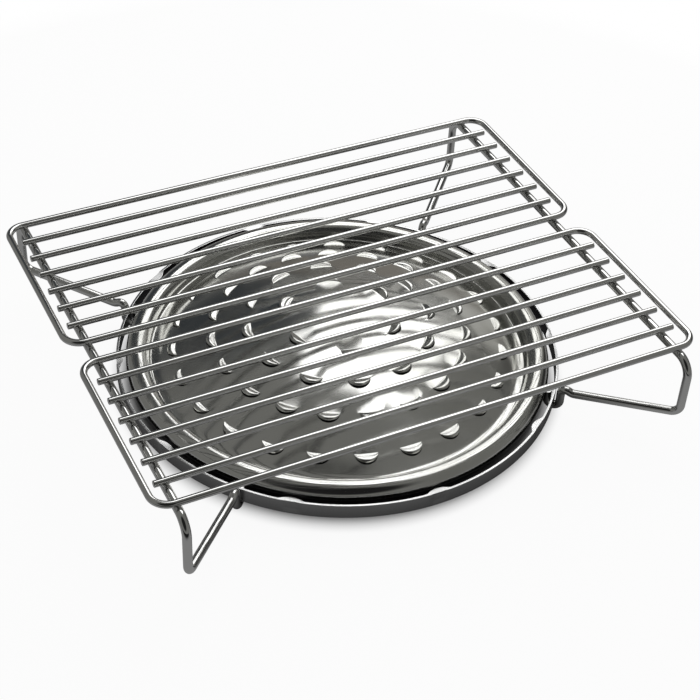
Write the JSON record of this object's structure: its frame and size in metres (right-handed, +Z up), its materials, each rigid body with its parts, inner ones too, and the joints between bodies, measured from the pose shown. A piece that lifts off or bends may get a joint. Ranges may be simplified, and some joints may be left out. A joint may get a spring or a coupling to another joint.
{
  "type": "stovetop smoking rack",
  "caption": "Bright wire cooking rack on bent legs whose ends hook under a flat hoop, with a loose louvred dome plate inside it.",
  "frame": {"origin": "on the surface that the stand rests on, below the middle of the rack", "axes": "+X along the rods to the right, -Y to the front, +Z up"},
  "size_m": [0.327, 0.279, 0.0645],
  "materials": {
    "wire": "bright drawn stainless wire, polished",
    "strip": "bright flat stainless strip, lightly rolled",
    "sheet": "mirror polished stainless sheet with faint draw lines"
  },
  "bodies": {
    "stand": {"rear_frame": "wire", "front_frame": "wire", "rear_rod_1": "wire", "rear_rod_2": "wire", "rear_rod_3": "wire", "rear_rod_4": "wire", "rear_rod_5": "wire", "rear_rod_6": "wire", "front_rod_1": "wire", "front_rod_2": "wire", "front_rod_3": "wire", "front_rod_4": "wire", "front_rod_5": "wire", "front_rod_6": "wire", "left_leg_wire": "wire", "right_leg_wire": "wire"},
    "hoop": {"hoop": "strip"},
    "plate": {"louvre_plate": "sheet"}
  },
  "joints": [
    {"name": "hoop_lift", "type": "slide", "parent": "stand", "child": "hoop", "axis": [0, 0, 1], "range_m": [0, 0.04]},
    {"name": "plate_lift", "type": "slide", "parent": "stand", "child": "plate", "axis": [0, 0, 1], "range_m": [0, 0.016]}
  ]
}
